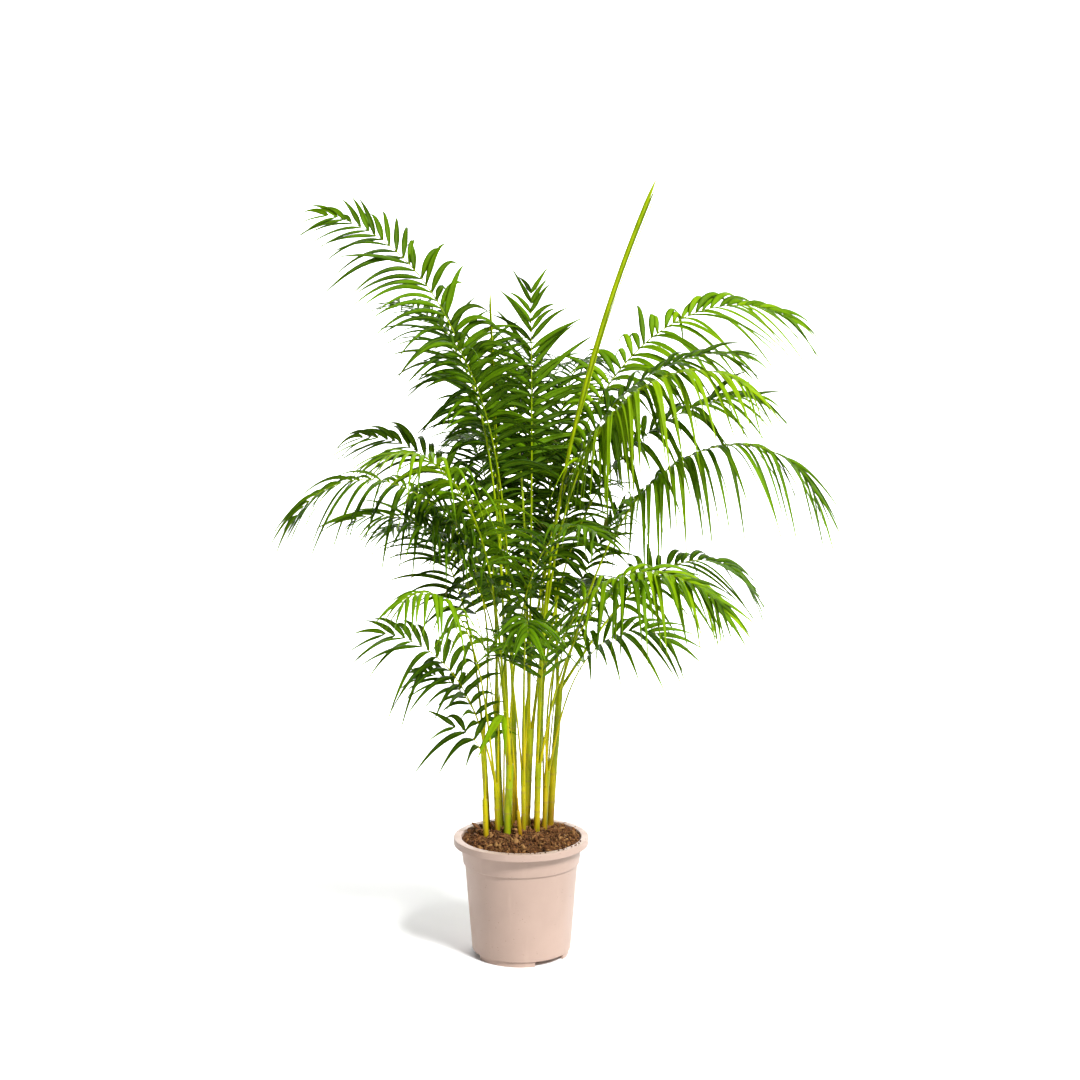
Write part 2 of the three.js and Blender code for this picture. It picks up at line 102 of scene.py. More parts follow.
SOIL_RINGS = 60
SOIL_GAP = 0.4  # from the pot's inner wall
SOIL_EDGE_GAP = 0.8  # from the wall at the soil's top
SOIL_LIFT = 0.3  # above the pot's floor
SOIL_TONE = 0.32
CLOD_PITCH = 0.035  # clods per millimetre
CLOD_HEIGHT = 3.2
GRAIN_HEIGHT = 1.3
CRUMBS = 4200
CRUMB_REACH = 115
CRUMB_SIZES = (0.9, 1.2, 1.6, 2.0, 2.6, 3.6)
BARK_CHIPS = 150
BARK_REACH = 113
RIM_CRUMBS = 34
RIM_CRUMB_HEADING = -50
RIM_CRUMB_RADII = (119, 131)
FIBRES = 170
FIBRE_REACH = 108
FIBRE_RADIUS = 0.45
FIBRE_STEPS = 9

CANE_SIDES = 20
CANE_STEP = 2.5
RING_SWELL = 0.06  # how much thicker a cane is at a ring scar, as a share of its radius
RING_REACH = 4
SCAR_REACH = 1.6
FOOT_SWELL = 0.25  # how much thicker it is where it leaves the soil
CANE_WAVE = 0.03  # how much its radius comes and goes
CANE_SWAY = 0.9
COLOUR_HEIGHT = 500  # a stem turns from yellow to green over this height
PETIOLE_FADE = 0.62  # as a petiole does, more slowly
CLASP = 34  # how far down its cane a petiole reaches
CLASP_STEPS = 8
PETIOLE_SIDES = 12

LEAFLET_SPACING = 18
LEAFLET_WIDTH = 14
USUAL_LEAFLET = 250  # the length at which a leaflet has that width
SEEDLING_BREADTH = 1.5  # a seedling leaf is that much broader
LEAF_THICKNESS = 0.45
LEAF_STATIONS = 13
LEAF_SHOULDER = 0.22  # where along its length a leaflet is widest
LEAF_TAPER = 1.15
SAG_POWER = 1.8  # how late along its length a leaflet curves down
EXTRA_SAG = 0.16  # how much more the leaflets sag than those of the solids

# A spear swells between two shares of its length. The strips beside it start at one share
# and go on for another.
SPEAR_SIDES = 18
SPEAR_PLEATS = 6
SPEAR_SWELLS = (0.35, 0.62)
STRIP_SIDES = 10
STRIP_START = 0.55
STRIP_SPAN = 0.44
STRIP_STEPS = 28

# ---- Camera, lights and floor, in metres, watts and degrees --------------------------------

CAMERA_PLACE = (0.0374, -3.69, 1.325)
CAMERA_LENS = 63.3
CAMERA_DOWN = 7.54  # below the horizon

WORLD_LIGHT = 0.16
KEY_LIGHT = 5.0
KEY_SOFTNESS = 14
KEY_FROM = (0.44, -0.54, 0.72)
BACKDROP_WATTS = 260

SWEEP_FRONT = -6.0
SWEEP_BEND = 3.5  # where the floor starts to curve up
SWEEP_RADIUS = 1.5
SWEEP_TOP = 6.0
SWEEP_HALF = 8  # half its width
SWEEP_STEPS = 12

# ---- The plant -----------------------------------------------------------------------------

# Where a cane stands, its radius, its height above the soil, its lean towards a heading.
Cane = namedtuple("Cane", "x y radius height lean heading fronds")

# A frond's heading, its lean where it starts, its bend from there to its tip, how late it
# bends, its length, the share that is bare petiole, its longest leaflet, how far that
# leaflet sags as a share of its length, how far the blade is turned about its rachis, and
# how light its green is, from 0 to 1. That lightness is painted light and shade: it is low
# for the fronds at the back and inside the clump, as painted shade, and high for those at
# the front and right that face the key light, as painted light.
Frond = namedtuple("Frond", "heading lean bend late length bare leaflet droop roll tone")

# The same of a frond that is still closed, and its radius.
Spear = namedtuple("Spear", "heading lean bend late length radius")

CANES = [
    Cane(-70, -6, 5.5, 80, 2, 180, [
        Frond(160, -2, 104, 2.1, 330, 0.46, 140, 0.45, -30, 0.40),
        Frond(185, -4, 80, 2.1, 175, 0.60, 210, 0.42, -45, 0.40),
    ]),
    Cane(-47, 12, 5.5, 110, 2, 180, [
        Frond(178, 13, 74, 2.1, 400, 0.46, 230, 0.45, -40, 0.42),
        Frond(235, 10, 106, 2.9, 570, 0.52, 190, 0.70, 0, 0.70),
        Frond(300, 2, 6, 1.5, 262, 0.93, 200, 0.60, 0, 0.65),
    ]),
    Cane(-28, 2, 7.5, 150, 2, 0, [
        Frond(165, 2, 78, 3.4, 1230, 0.55, 235, 0.40, -46, 0.50),
        Frond(225, 6, 98, 3.5, 790, 0.52, 290, 0.60, 0, 0.80),
    ]),
    Cane(-2, -16, 4, 60, 4, 180, [
        Frond(250, 12, 125, 9.0, 250, 0.94, 250, 0.50, 0, 0.95),
    ]),
    Cane(10, 38, 7.5, 215, 2, 0, [
        Frond(100, 5, 85, 2.4, 960, 0.52, 260, 0.45, 0, 0.35),
        Frond(262, -6, 12, 2.0, 870, 0.60, 205, 0.18, 0, 0.50),
        Frond(340, 7, 122, 3.4, 965, 0.54, 290, 0.80, 15, 0.92),
    ]),
    Cane(30, 14, 6, 150, 2, 20, [
        Frond(280, 18, -10, 1.5, 310, 0.60, 175, 0.12, 0, 0.48),
        Frond(328, 12, 118, 2.2, 640, 0.46, 230, 0.60, 10, 0.55),
        Spear(373, -1, 25, 1.0, 1180, 5),
    ]),
    Cane(45, 30, 5.5, 130, 3, 0, [
        Frond(325, -1, 138, 1.8, 700, 0.46, 230, 0.62, 20, 0.80),
        Frond(345, 12, 112, 2.7, 430, 0.54, 230, 0.45, 30, 0.60),
        Frond(436, 15, 112, 1.9, 600, 0.40, 210, 0.40, 0, 0.35),
    ]),
    Cane(57, 60, 7, 290, 4, 10, [
        Frond(345, 16, 145, 2.7, 845, 0.42, 290, 0.80, 12, 0.60),
        Frond(382, 36, 112, 2.5, 540, 0.36, 240, 0.55, 30, 0.50),
        Frond(456, 10, 108, 2.1, 720, 0.42, 240, 0.40, 0, 0.35),
    ]),
    Cane(-68, 38, 6, 170, 3, 160, [
        Frond(122, 9, 108, 2.0, 660, 0.42, 230, 0.40, -10, 0.30),
        Frond(190, -5, 154, 2.3, 830, 0.50, 260, 0.65, -15, 0.45),
    ]),
    Cane(-42, 54, 6.5, 240, 3, 130, [
        Frond(100, 8, 104, 2.2, 780, 0.45, 250, 0.40, 0, 0.30),
        Frond(160, -2, 99, 2.2, 710, 0.45, 250, 0.45, -30, 0.40),
    ]),
    Cane(-14, 66, 6.5, 260, 2, 110, [
        Frond(128, 4, 84, 2.6, 980, 0.52, 260, 0.40, -15, 0.35),
        Frond(240, 3, 58, 2.6, 840, 0.52, 240, 0.40, 0, 0.45),
    ]),
    Cane(30, 78, 6.5, 250, 4, 60, [
        Frond(350, 7, 86, 2.1, 840, 0.48, 260, 0.50, 30, 0.50),
        Frond(380, 2, 116, 2.3, 1140, 0.52, 280, 0.50, 40, 0.70),
        Frond(436, 8, 92, 2.4, 920, 0.48, 250, 0.40, 0, 0.35),
    ]),
    Cane(-22, 34, 5.5, 190, 2, 150, [
        Frond(205, 4, 100, 2.2, 640, 0.44, 240, 0.45, -10, 0.45),
        Frond(300, 7, 98, 2.3, 640, 0.46, 230, 0.45, 0, 0.50),
        Spear(545, 1.5, 1, 1.0, 900, 2.2),
    ]),
    Cane(4, 6, 4.5, 140, 3, 270, [
        Frond(200, 5, 45, 2.2, 600, 0.36, 220, 0.35, -20, 0.45),
        Frond(272, 9, 104, 2.0, 520, 0.46, 200, 0.55, 0, 0.55),
        Frond(418, 6, 84, 2.4, 700, 0.48, 230, 0.40, 10, 0.40),
    ]),
    Cane(4, 84, 5.5, 230, 3, 80, [
        Frond(352, 6, 92, 2.7, 940, 0.50, 260, 0.50, 25, 0.50),
        Frond(446, 8, 70, 2.2, 880, 0.48, 250, 0.40, 0, 0.35),
    ]),
    Cane(-38, 74, 4.5, 40, 3, 120, [
        Frond(85, 6, 50, 2.2, 700, 0.62, 170, 0.35, 0, 0.28),
        Frond(150, 4, 40, 2.2, 640, 0.62, 170, 0.35, -15, 0.32),
    ]),
    Cane(46, 74, 4.5, 40, 3, 60, [
        Frond(30, 4, 40, 2.2, 640, 0.62, 170, 0.35, 15, 0.32),
        Frond(95, 6, 50, 2.2, 700, 0.62, 170, 0.35, 0, 0.28),
    ]),
]


# ---- Camera, floor and light -----------------------------------------------------------------

def make_camera():
    data = bpy.data.cameras.new("camera")
    data.sensor_width = 36
    data.lens = CAMERA_LENS
    camera = bpy.data.objects.new("camera", data)
    camera.location = CAMERA_PLACE
    camera.rotation_euler = (math.radians(90 - CAMERA_DOWN), 0, 0)
    bpy.context.scene.collection.objects.link(camera)
    bpy.context.scene.camera = camera


def area_light(name, place, target, size, watts):
    data = bpy.data.lights.new(name, "AREA")
    data.shape = "DISK"
    data.size = size
    data.energy = watts
    light = bpy.data.objects.new(name, data)
    light.location = place
    light.rotation_euler = (Vector(target) - Vector(place)).to_track_quat("-Z", "Y").to_euler()
    bpy.context.scene.collection.objects.link(light)


def make_lights():
    world = bpy.data.worlds.new("studio")
    world.use_nodes = True
    background = world.node_tree.nodes["Background"]
    background.inputs["Color"].default_value = (1.0, 1.0, 1.0, 1)
    background.inputs["Strength"].default_value = WORLD_LIGHT
    bpy.context.scene.world = world
    bpy.context.scene.view_settings.view_transform = "Standard"
    key = bpy.data.lights.new("key", "SUN")
    key.energy = KEY_LIGHT
    key.angle = math.radians(KEY_SOFTNESS)
    sun = bpy.data.objects.new("key", key)
    sun.rotation_euler = Vector(KEY_FROM).to_track_quat("Z", "Y").to_euler()
    bpy.context.scene.collection.objects.link(sun)
    area_light("backdrop", (0, 1.9, 3.4), (0, 4.6, 1.6), 3.0, BACKDROP_WATTS)


def make_floor():
    """A pale sweep: flat under the plant, and curving up far behind it."""
    profile = [(SWEEP_FRONT, 0.0), (SWEEP_BEND, 0.0)]
    for i in range(1, SWEEP_STEPS + 1):
        turn = math.radians(90 * i / SWEEP_STEPS)
        y = SWEEP_BEND + SWEEP_RADIUS * math.sin(turn)
        profile.append((y, SWEEP_RADIUS - SWEEP_RADIUS * math.cos(turn)))
    profile.append((SWEEP_BEND + SWEEP_RADIUS, SWEEP_TOP))
    points = []
    faces = []
    for y, z in profile:
        points += [(-SWEEP_HALF, y, z), (SWEEP_HALF, y, z)]
    for i in range(len(profile) - 1):
        faces.append((2 * i, 2 * i + 1, 2 * i + 3, 2 * i + 2))
    mesh = bpy.data.meshes.new("floor")
    mesh.from_pydata(points, [], faces)
    mesh.shade_smooth()
    floor = bpy.data.objects.new("floor", mesh)
    bpy.context.scene.collection.objects.link(floor)
    shader = Shader("floor")
    shader.set(shader.bsdf, {"Base Color": (0.93, 0.93, 0.93, 1), "Roughness": 0.8})
    mesh.materials.append(shader.material)


# ---- Material helper -------------------------------------------------------------------------

class Shader:
    """One material and its nodes."""

    def __init__(self, name):
        self.material = bpy.data.materials.new(name)
        self.material.use_nodes = True
        self.tree = self.material.node_tree
        self.bsdf = self.tree.nodes["Principled BSDF"]
        self.output = self.tree.nodes["Material Output"]

    def set(self, node, values):
        """Links or sets inputs of a node, by name or number."""
        for key, value in values.items():
            if isinstance(value, bpy.types.NodeSocket):
                self.tree.links.new(value, node.inputs[key])
            else:
                node.inputs[key].default_value = value
        return node

    def node(self, kind, values=None, **settings):
        node = self.tree.nodes.new(kind)
        for key, value in settings.items():
            setattr(node, key, value)
        return self.set(node, values or {})

    def attribute(self, name):
        return self.node("ShaderNodeAttribute", attribute_name=name).outputs["Fac"]

    def place(self, scale=(1, 1, 1)):
        """The point on the object, which rides with it."""
        coordinates = self.node("ShaderNodeTexCoord")
        mapping = self.node("ShaderNodeMapping", {0: coordinates.outputs["Object"]})
        mapping.inputs["Scale"].default_value = scale
        return mapping.outputs[0]

    def noise(self, scale, detail=3, vector=None):
        values = {"Scale": scale, "Detail": detail, "Roughness": 0.55}
        values["Vector"] = vector or self.place()
        return self.node("ShaderNodeTexNoise", values).outputs["Fac"]

    def math(self, operation, a, b=0.0):
        return self.node("ShaderNodeMath", {0: a, 1: b}, operation=operation).outputs[0]

    def remap(self, value, low, high, to_low=0.0, to_high=1.0):
        values = {"Value": value, "From Min": low, "From Max": high}
        values.update({"To Min": to_low, "To Max": to_high})
        return self.node("ShaderNodeMapRange", values, clamp=True).outputs[0]

    def ramp(self, value, stops):
        node = self.node("ShaderNodeValToRGB", {0: value})
        elements = node.color_ramp.elements
        while len(elements) < len(stops):
            elements.new(0.5)
        for element, (position, colour) in zip(elements, stops):
            element.position = position
            element.color = (*colour, 1)
        return node.outputs[0]

    def mix(self, share, a, b):
        """From colour a to colour b; in this node's list they are the inputs 6 and 7."""
        node = self.node("ShaderNodeMix", data_type="RGBA")
        for index, value in ((0, share), (6, a), (7, b)):
            if isinstance(value, bpy.types.NodeSocket):
                self.tree.links.new(value, node.inputs[index])
            else:
                node.inputs[index].default_value = value if index == 0 else (*value, 1)
        return node.outputs[2]

    def bump(self, height, strength, distance):
        values = {"Height": height, "Strength": strength, "Distance": distance}
        return self.node("ShaderNodeBump", values).outputs[0]


# ---- Materials -------------------------------------------------------------------------------

def pot_material():
    """Satin injection-moulded plastic with faint clouding, tiny dark specks and scuffs."""
    s = Shader("pot_plastic")
    clouds = s.noise(9, 4)
    colour = s.ramp(clouds, [(0.3, (0.415, 0.300, 0.245)), (0.7, (0.465, 0.338, 0.278))])
    specks = s.node("ShaderNodeTexVoronoi", {"Vector": s.place(), "Scale": 210.0})
    small = s.remap(specks.outputs["Distance"], 0.10, 0.16, 1, 0)
    rare = s.remap(s.noise(60, 1), 0.60, 0.66)
    colour = s.mix(s.math("MULTIPLY", small, rare), colour, (0.16, 0.10, 0.07))
    scuffs = s.noise(40, 5, s.place((1, 1, 0.12)))
    dust = s.remap(scuffs, 0.58, 0.75, 0, 0.25)
    colour = s.mix(dust, colour, (0.60, 0.46, 0.38))
    rough = s.math("ADD", s.remap(scuffs, 0.3, 0.7, 0.36, 0.50), dust)
    grain = s.noise(900, 2)
    wave = s.noise(14, 2, s.place((1, 1, 0.4)))
    height = s.math("ADD", s.math("MULTIPLY", grain, 0.12), wave)
    s.set(s.bsdf, {"Base Color": colour, "Roughness": rough, "Specular IOR Level": 0.35})
    s.set(s.bsdf, {"Normal": s.bump(height, 0.25, 0.0008)})
    return s.material


def soil_material():
    """Moist coir, peat and bark: every crumb has its own shade."""
    s = Shader("potting_soil")
    tone = s.attribute("tone")
    patches = s.noise(45, 5)
    shade = s.math("ADD", s.math("MULTIPLY", tone, 0.55), s.math("MULTIPLY", patches, 0.5))
    colour = s.ramp(shade, [
        (0.15, (0.014, 0.006, 0.003)),
        (0.40, (0.088, 0.033, 0.010)),
        (0.65, (0.200, 0.082, 0.024)),
        (0.95, (0.520, 0.300, 0.110)),
    ])
    fine = s.noise(420, 4)
    s.set(s.bsdf, {"Base Color": colour, "Roughness": s.remap(fine, 0.3, 0.7, 0.75, 0.98)})
    s.set(s.bsdf, {"Specular IOR Level": 0.25})
    s.set(s.bsdf, {"Normal": s.bump(s.math("ADD", fine, patches), 0.8, 0.002)})
    return s.material


def stem_colour(s, height):
    """Yellow low down, turning yellow-green and then green, with brown flecks."""
    wander = s.noise(14, 3, s.place((1, 1, 0.25)))
    level = s.math("ADD", height, s.math("MULTIPLY", s.math("SUBTRACT", wander, 0.5), 0.5))
    colour = s.ramp(level, [
        (0.00, (0.34, 0.17, 0.004)),
        (0.12, (0.60, 0.46, 0.002)),
        (0.35, (0.44, 0.48, 0.002)),
        (0.70, (0.38, 0.48, 0.002)),
        (1.00, (0.32, 0.44, 0.002)),
    ])
    streaks = s.remap(s.noise(95, 4, s.place((1, 1, 0.10))), 0.46, 0.64, 0, 0.60)
    colour = s.mix(streaks, colour, (0.11, 0.22, 0.002))
    flecks = s.remap(s.noise(330, 2, s.place((1, 1, 0.5))), 0.66, 0.72, 0, 0.7)
    return s.mix(flecks, colour, (0.13, 0.065, 0.02))


def cane_material():
    """Waxy canes: yellow to green, with brown ring scars and fine long lines."""
    s = Shader("cane_skin")
    colour = stem_colour(s, s.attribute("height"))
    colour = s.mix(s.attribute("tone"), colour, (0.20, 0.38, 0.004))
    scar = s.attribute("scar")
    colour = s.mix(s.math("MULTIPLY", scar, 0.45), colour, (0.30, 0.16, 0.06))
    rough = s.remap(s.noise(60, 3), 0.3, 0.7, 0.33, 0.55)
    lines = s.noise(260, 2, s.place((1, 1, 0.06)))
    s.set(s.bsdf, {"Base Color": colour, "Roughness": rough, "Specular IOR Level": 0.22})
    s.set(s.bsdf, {"Normal": s.bump(lines, 0.35, 0.0008)})
    return s.material


def leaf_colour(s):
    """Green leaflets with a paler midrib and here and there a dry tip, and their long veins."""
    tone = s.attribute("tone")
    across = s.attribute("across")
    along = s.attribute("along")
    patches = s.math("MULTIPLY", s.math("SUBTRACT", s.noise(22, 3), 0.5), 0.45)
    # The tone picks the green. It holds painted shade for the back and inner fronds, down to this
    # ramp's darkest stops, and painted light for the fronds that face the key light.
    colour = s.ramp(s.math("ADD", tone, patches), [
        (0.05, (0.007, 0.028, 0.001)),
        (0.40, (0.030, 0.092, 0.001)),
        (0.70, (0.180, 0.385, 0.002)),
        (1.00, (0.430, 0.680, 0.003)),
    ])
    veins = s.math("SINE", s.math("MULTIPLY", across, 30.0))
    colour = s.mix(s.remap(veins, 0.2, 1.0, 0, 0.22), colour, (0.030, 0.085, 0.001))
    rib = s.remap(s.math("ABSOLUTE", across), 0.03, 0.12, 0.55, 0)
    colour = s.mix(rib, colour, (0.28, 0.37, 0.01))
    under = s.attribute("under")
    colour = s.mix(s.math("MULTIPLY", under, 0.3), colour, (0.14, 0.27, 0.005))
    edge = s.math("ADD", along, s.math("MULTIPLY", s.noise(30, 2), 0.25))
    dry = s.remap(edge, 1.06, 1.13, 0, 0.9)
    return s.mix(dry, colour, (0.36, 0.24, 0.07)), veins


def frond_material():
    """Stem where the leaf value is 0; leaflet, which lets light through, where it is 1."""
    s = Shader("palm_leaf")
    leaf = s.attribute("leaf")
    blade, veins = leaf_colour(s)
    stem = stem_colour(s, s.attribute("height"))
    colour = s.mix(leaf, stem, blade)
    rough = s.remap(s.noise(50, 3), 0.3, 0.7, 0.34, 0.50)
    ridges = s.math("ADD", s.math("MULTIPLY", veins, leaf), s.noise(150, 2))
    normal = s.bump(ridges, 0.3, 0.0004)
    s.set(s.bsdf, {"Base Color": colour, "Roughness": rough, "Normal": normal})
    s.set(s.bsdf, {"Specular IOR Level": 0.09})
    glow = s.mix(0.55, colour, (0.42, 0.60, 0.005))
    through = s.node("ShaderNodeBsdfTranslucent", {"Color": glow, "Normal": normal})
    share = s.math("MULTIPLY", leaf, 0.30)
    both = s.node("ShaderNodeMixShader", {0: share})
    s.tree.links.new(s.bsdf.outputs[0], both.inputs[1])
    s.tree.links.new(through.outputs[0], both.inputs[2])
    s.tree.links.new(both.outputs[0], s.output.inputs["Surface"])
    return s.material


# ---- Mesh building ---------------------------------------------------------------------------

class Body:
    """Points, faces and per-point values of one object, in millimetres."""

    def __init__(self):
        self.points = []
        self.faces = []
        self.values = {}
        self.count = 0

    def add(self, points, faces, **values):
        points = np.asarray(points, float).reshape(-1, 3)
        self.points.append(points)
        self.faces += [tuple(int(i) + self.count for i in face) for face in faces]
        for name in set(self.values) | set(values):
            column = self.values.setdefault(name, [np.zeros(self.count)])
            given = np.broadcast_to(np.asarray(values.get(name, 0.0), float), len(points))
            column.append(given)
        self.count += len(points)

    def loft(self, rings, **values):
        """A closed tube through rings of points, all with as many points."""
        rings = np.asarray(rings, float)
        total, around = rings.shape[:2]
        spread = {}
        for name, value in values.items():
            value = np.asarray(value, float)
            if value.ndim == 1 and len(value) == total:
                value = np.repeat(value, around)
            spread[name] = value.reshape(-1) if value.ndim else value
        self.add(rings, loft_faces(total, around), **spread)

    def build(self, name, material):
        mesh = bpy.data.meshes.new(name)
        mesh.from_pydata(np.vstack(self.points) * MM, [], self.faces)
        for key, columns in self.values.items():
            data = mesh.attributes.new(key, "FLOAT", "POINT")
            data.data.foreach_set("value", np.concatenate(columns).astype(np.float32))
        mesh.shade_smooth()
        mesh.materials.append(material)
        piece = bpy.data.objects.new(name, mesh)
        bpy.context.scene.collection.objects.link(piece)
        return piece


@functools.cache
def loft_faces(total, around):
    """Faces of a closed tube, facing out when the rings turn anticlockwise seen from its end."""
    faces = [tuple(range(around))[::-1]]
    for i in range(total - 1):
        low = i * around
        for j in range(around):
            k = (j + 1) % around
            faces.append((low + j, low + k, low + around + k, low + around + j))
    last = (total - 1) * around
    faces.append(tuple(range(last, last + around)))
    return faces


def unit(vector):
    return vector / np.linalg.norm(vector, axis=-1, keepdims=True)


def leaning(lean, heading):
    """Direction that leans so many degrees from the vertical towards a heading."""
    lean = np.radians(lean)
    turn = np.radians(heading)
    return np.stack([np.sin(lean) * np.cos(turn), np.sin(lean) * np.sin(turn), np.cos(lean)], -1)


def smooth(t, low, high):
    """From 0 at low to 1 at high, level at both."""
    t = min(1, max(0, (t - low) / (high - low)))
    return t * t * (3 - 2 * t)


def keep(piece, node):
    """The piece rides on the one body and stands for a node of the solids."""
    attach(piece, "root")
    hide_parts(node)


# ---- Pot -------------------------------------------------------------------------------------

def rounded(profile, radius):
    """The closed profile with every corner off the axis eased by at most that radius."""
    steps = 4
    points = []
    total = len(profile)
    for i in range(total):
        before, here, after = (np.array(profile[(i + k) % total], float) for k in (-1, 0, 1))
        if here[0] == 0:
            points.append(tuple(here))
            continue
        shorter = min(np.linalg.norm(before - here), np.linalg.norm(after - here))
        reach = min(radius, shorter / 2.2)
        start = here + unit(before - here) * reach
        end = here + unit(after - here) * reach
        for k in range(steps + 1):
            t = k / steps
            point = (1 - t) ** 2 * start + 2 * t * (1 - t) * here + t * t * end
            points.append(tuple(point))
    return points


def turned_body(profile, segments):
    """A body of revolution: the profile starts and ends on the axis."""
    body = Body()
    points = []
    index = []
    for r, z in profile:
        if r == 0:
            index.append([len(points)] * segments)
            points.append((0, 0, z))
            continue
        index.append(list(range(len(points), len(points) + segments)))
        for j in range(segments):
            turn = 2 * math.pi * j / segments
            points.append((r * math.cos(turn), r * math.sin(turn), z))
    faces = []
    for low, high in zip(index, index[1:]):
        for j in range(segments):
            k = (j + 1) % segments
            corners = [low[j], low[k], high[k], high[j]]
            faces.append(tuple(dict.fromkeys(corners)))
    body.add(points, faces)
    return body


def inner_profile():
    """The pot's inside wall, from the floor to the rim."""
    collar_bottom = POT_HEIGHT - COLLAR_HEIGHT
    collar_low = COLLAR_RADIUS - COLLAR_DRAFT
    return [
        (BASE_RADIUS - WALL, FOOT_HEIGHT + FLOOR_THICKNESS),
        (collar_low - COLLAR_STEP - WALL, collar_bottom - WALL),
        (collar_low - WALL, collar_bottom + WALL),
        (COLLAR_RADIUS - WALL, POT_HEIGHT),
    ]


def pot_shell():
    collar_bottom = POT_HEIGHT - COLLAR_HEIGHT
    collar_low = COLLAR_RADIUS - COLLAR_DRAFT
    rim_radius = COLLAR_RADIUS + RIM_OVERHANG
    skirt_top = POT_HEIGHT - WALL
    profile = [
        (0, FOOT_HEIGHT),
        (BASE_RADIUS, FOOT_HEIGHT),
        (collar_low - COLLAR_STEP, collar_bottom),
        (collar_low, collar_bottom),
        (COLLAR_RADIUS, skirt_top),
        (rim_radius - WALL, skirt_top),
        (rim_radius - WALL, POT_HEIGHT - RIM_HEIGHT),
        (rim_radius, POT_HEIGHT - RIM_HEIGHT),
        (rim_radius, POT_HEIGHT),
        *reversed(inner_profile()),
        (0, FOOT_HEIGHT + FLOOR_THICKNESS),
    ]
    return turned_body(rounded(profile, POT_CORNER), ROUND)


def arc_foot(start):
    """One curved foot, from a heading onwards, a little wider where it meets the floor."""
    foot_radius = BASE_RADIUS - FOOT_INSET
    top = FOOT_HEIGHT + FUSED
    section = [
        (foot_radius - FOOT_WIDTH, 0.0),
        (foot_radius, 0.0),
        (foot_radius + FOOT_DRAFT, top),
        (foot_radius - FOOT_WIDTH - FOOT_DRAFT, top),
    ]
    rings = []
    for i in range(FOOT_STEPS + 1):
        turn = math.radians(start + FOOT_SPAN * i / FOOT_STEPS)
        ring = [(r * math.cos(turn), r * math.sin(turn), z) for r, z in section]
        rings.append(ring[::-1])
    body = Body()
    body.loft(rings)
    return body


def plug(radius, low, high, x=0.0, y=0.0):
    """An upright cylinder."""
    turns = np.linspace(0, 2 * math.pi, PLUG_SIDES, endpoint=False)
    rings = []
    for z in (low, high):
        rings.append([(x + radius * math.cos(t), y + radius * math.sin(t), z) for t in turns])
    body = Body()
    body.loft(rings)
    return body


def combine(piece, others, operation):
    """Joins or cuts piece with the others, for good, and removes them."""
    for other in others:
        modifier = piece.modifiers.new("combine", "BOOLEAN")
        modifier.operation = operation
        modifier.solver = "EXACT"
        modifier.object = other
    bpy.context.view_layer.update()
    graph = bpy.context.evaluated_depsgraph_get()
    mesh = bpy.data.meshes.new_from_object(piece.evaluated_get(graph))
    piece.modifiers.clear()
    piece.data = mesh
    for other in others:
        bpy.data.objects.remove(other)


def soften(piece, degrees):
    """Smooth shading, but sharp where faces meet at more than that angle."""
    piece.data.shade_smooth()
    piece.data.set_sharp_from_angle(angle=math.radians(degrees))


def make_pot():
    material = pot_material()
    pot = pot_shell().build("nursery_pot", material)
    added = [arc_foot(FOOT_TURN + i * 360 / FEET).build("foot", material) for i in range(FEET)]
    added.append(plug(BOSS_RADIUS, 0, FOOT_HEIGHT + FUSED).build("boss", material))
    combine(pot, added, "UNION")
    drains = []
    for i in range(DRAINS):
        turn = math.radians(i * 360 / DRAINS + DRAIN_TURN)
        x = DRAIN_CIRCLE * math.cos(turn)
        y = DRAIN_CIRCLE * math.sin(turn)
        drains.append(plug(DRAIN_RADIUS, *DRAIN_CUT, x, y).build("drain", material))
    combine(pot, drains, "DIFFERENCE")
    soften(pot, 40)
    keep(pot, "pot")


# ---- Soil ------------------------------------------------------------------------------------

def soil_height(x, y):
    """A mound that falls to the pot's wall and is higher on one side, with clods and grains."""
    reach = COLLAR_RADIUS - WALL
    out = min(1.0, math.hypot(x, y) / reach)
    mound = SOIL_MOUND * (1 - out * out) * (0.8 + 0.3 * (x + y) / reach)
    place = Vector((x, y, 0)) * CLOD_PITCH
    clods = noise.fractal(place, 0.9, 2.1, 5) * CLOD_HEIGHT
    grains = noise.noise(place * 9) * GRAIN_HEIGHT
    return POT_HEIGHT - SOIL_BELOW_RIM + mound + (clods + grains)


def soil_block():
    """The soil's body: its crumbly top, and sides and bottom that fill the pot."""
    sides = [(r - SOIL_GAP, z + SOIL_LIFT) for r, z in inner_profile()[:3]]
    low, high = inner_profile()[-2:]
    edge = POT_HEIGHT - SOIL_BELOW_RIM
    share = (edge - low[1]) / (high[1] - low[1])
    edge_radius = low[0] + share * (high[0] - low[0]) - SOIL_EDGE_GAP
    rings = [(edge_radius * (1 - i / SOIL_RINGS), edge) for i in range(SOIL_RINGS)]
    bottom = (0, FOOT_HEIGHT + FLOOR_THICKNESS + SOIL_LIFT)
    body = turned_body([bottom, *sides, *rings, (0, edge)], ROUND)
    points = np.vstack(body.points)
    for point in points:
        if point[2] > edge - 1:
            point[2] = soil_height(point[0], point[1])
    body.points = [points]
    body.values["tone"] = [np.full(len(points), SOIL_TONE)]
    return body


